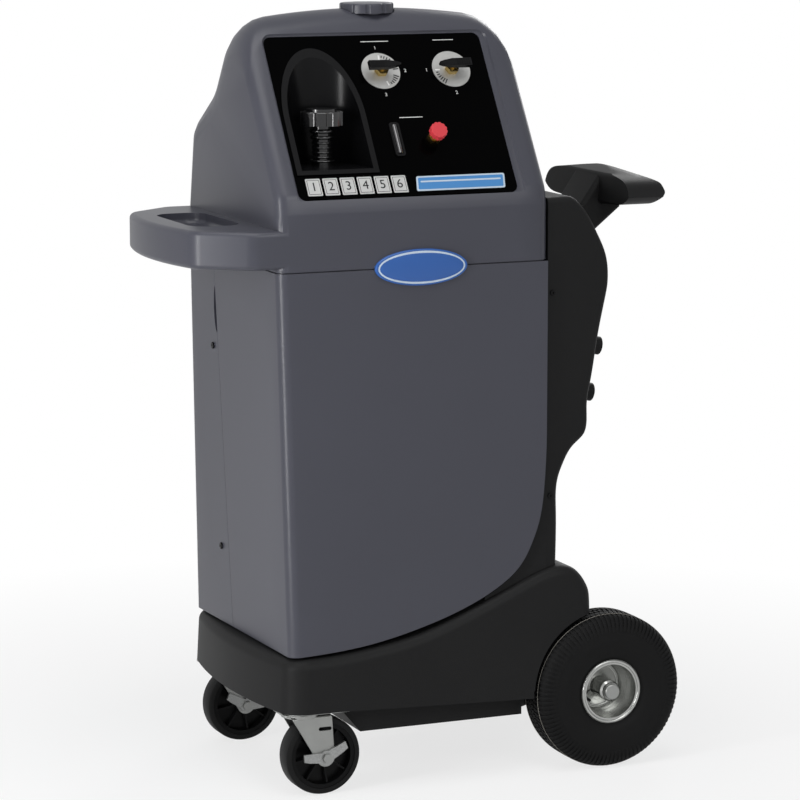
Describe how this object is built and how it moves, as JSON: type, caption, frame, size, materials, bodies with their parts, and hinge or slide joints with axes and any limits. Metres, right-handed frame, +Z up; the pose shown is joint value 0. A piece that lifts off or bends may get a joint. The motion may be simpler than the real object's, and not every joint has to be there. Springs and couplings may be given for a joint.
{
  "type": "air conditioning system flusher",
  "caption": "Upright wheeled flushing cart with a leaning control panel, filler alcove, side tray, push handle, casters and pneumatic wheels.",
  "frame": {"origin": "on the floor, under the middle of the whole cart", "axes": "+Z up, +X from the casters towards the push handle, the control panel faces -Y"},
  "size_m": [0.8379, 0.48, 1.243],
  "materials": {
    "slate_plastic": "fine grain, satin",
    "black_plastic": "leather grain",
    "panel_black": "gloss",
    "liner_black": "gloss",
    "steel_zinc": "zinc plated",
    "cast_zinc": "cast",
    "rim_steel": "pressed, plated",
    "tyre_rubber": "matt rubber",
    "tread_rubber": "matt rubber",
    "wheel_core": "moulded",
    "brass": "turned",
    "red_knob": "moulded",
    "dial_plate": "satin",
    "badge_blue": "domed",
    "sight": "clear over dark",
    "tank_plastic": "translucent white",
    "pump_metal": "cast"
  },
  "bodies": {
    "cart": {"base_pan": "black_plastic", "base_skirt": "black_plastic", "chassis_plate": "steel_zinc", "axle_brackets": "steel_zinc", "rear_axle": "steel_zinc", "axle_caps": "steel_zinc", "front_shell": "slate_plastic", "back_shell": "slate_plastic", "rear_column": "black_plastic", "hood": "slate_plastic", "control_panel": "panel_black", "alcove_liner": "liner_black", "filler_neck": "liner_black", "selection_dial": "dial_plate", "filter_dial": "dial_plate", "selection_valve_body": "brass", "filter_valve_body": "brass", "agitation_valve_body": "brass", "valve_nuts": "brass", "sight_frame": "liner_black", "sight_tube": "sight", "badge": "badge_blue", "push_handle": "black_plastic", "port_fittings": "brass", "air_inlet_plug": "brass", "body_screws": "liner_black", "solvent_tank": "tank_plastic", "inner_frame": "steel_zinc", "diaphragm_pump": "pump_metal", "filter_canister": "pump_metal", "caster_plate_near": "steel_zinc", "caster_plate_far": "steel_zinc"},
    "selection_control": {"selection_stem": "brass", "selection_lever": "liner_black"},
    "filter_control": {"filter_stem": "brass", "filter_lever": "liner_black"},
    "agitation_control": {"agitation_stem": "brass", "agitation_knob": "red_knob"},
    "filler_cap": {"filler_cap": "liner_black"},
    "top_cap": {"top_cap": "slate_plastic"},
    "port_cap_upper": {"port_cap_upper": "black_plastic"},
    "port_cap_lower": {"port_cap_lower": "black_plastic"},
    "rear_wheel_near": {"rim_near": "rim_steel", "tyre_near": "tyre_rubber", "valve_stem_near": "tread_rubber"},
    "caster_fork_near": {"caster_fork_near": "steel_zinc", "caster_axle_near": "steel_zinc"},
    "caster_wheel_near": {"caster_core_near": "wheel_core", "caster_tread_near": "tread_rubber"},
    "brake_near": {"brake_lever_near": "cast_zinc"},
    "rear_wheel_far": {"rim_far": "rim_steel", "tyre_far": "tyre_rubber", "valve_stem_far": "tread_rubber"},
    "caster_fork_far": {"caster_fork_far": "steel_zinc", "caster_axle_far": "steel_zinc"},
    "caster_wheel_far": {"caster_core_far": "wheel_core", "caster_tread_far": "tread_rubber"},
    "brake_far": {"brake_lever_far": "cast_zinc"}
  },
  "joints": [
    {"name": "rear_wheel_near_spin", "type": "hinge", "parent": "cart", "child": "rear_wheel_near", "pos_m": [0.291, -0.196, 0.128], "axis": [0, 1, 0], "continuous": true},
    {"name": "caster_swivel_near", "type": "hinge", "parent": "cart", "child": "caster_fork_near", "pos_m": [-0.234, -0.1806, 0.13], "axis": [0, 0, 1], "continuous": true},
    {"name": "caster_wheel_near_spin", "type": "hinge", "parent": "caster_fork_near", "child": "caster_wheel_near", "pos_m": [-0.2015, -0.1806, 0.0635], "axis": [0, 1, 0], "continuous": true},
    {"name": "brake_lever_near_turn", "type": "hinge", "parent": "caster_fork_near", "child": "brake_near", "pos_m": [-0.2015, -0.2111, 0.0635], "axis": [0, 1, 0], "range_deg": [0, 26]},
    {"name": "rear_wheel_far_spin", "type": "hinge", "parent": "cart", "child": "rear_wheel_far", "pos_m": [0.291, 0.196, 0.128], "axis": [0, 1, 0], "continuous": true},
    {"name": "caster_swivel_far", "type": "hinge", "parent": "cart", "child": "caster_fork_far", "pos_m": [-0.234, 0.1806, 0.13], "axis": [0, 0, 1], "continuous": true},
    {"name": "caster_wheel_far_spin", "type": "hinge", "parent": "caster_fork_far", "child": "caster_wheel_far", "pos_m": [-0.2015, 0.1806, 0.0635], "axis": [0, 1, 0], "continuous": true},
    {"name": "brake_lever_far_turn", "type": "hinge", "parent": "caster_fork_far", "child": "brake_far", "pos_m": [-0.2015, 0.1501, 0.0635], "axis": [0, 1, 0], "range_deg": [-26, 0]},
    {"name": "selection_lever_turn", "type": "hinge", "parent": "cart", "child": "selection_control", "pos_m": [-0.0536, -0.08195, 1.13846], "axis": [0, -0.8339, 0.5519], "range_deg": [-90, 90]},
    {"name": "filter_lever_turn", "type": "hinge", "parent": "cart", "child": "filter_control", "pos_m": [0.0685, -0.08195, 1.13846], "axis": [0, -0.8339, 0.5519], "range_deg": [-90, 0]},
    {"name": "agitation_knob_turn", "type": "hinge", "parent": "cart", "child": "agitation_control", "pos_m": [0.008, -0.15039, 1.03506], "axis": [0, -0.8339, 0.5519], "range_deg": [0, 720]},
    {"name": "filler_cap_turn", "type": "hinge", "parent": "cart", "child": "filler_cap", "pos_m": [-0.1665, -0.112, 1.065], "axis": [0, 0, 1], "range_deg": [0, 450]},
    {"name": "top_cap_turn", "type": "hinge", "parent": "cart", "child": "top_cap", "pos_m": [-0.0405, 0.008, 1.235], "axis": [0, 0, 1], "range_deg": [0, 90]},
    {"name": "port_cap_upper_pull", "type": "slide", "parent": "cart", "child": "port_cap_upper", "axis": [0.9848, 0, -0.1736], "range_m": [0, 0.03]},
    {"name": "port_cap_lower_pull", "type": "slide", "parent": "cart", "child": "port_cap_lower", "axis": [0.9848, 0, -0.1736], "range_m": [0, 0.03]}
  ]
}
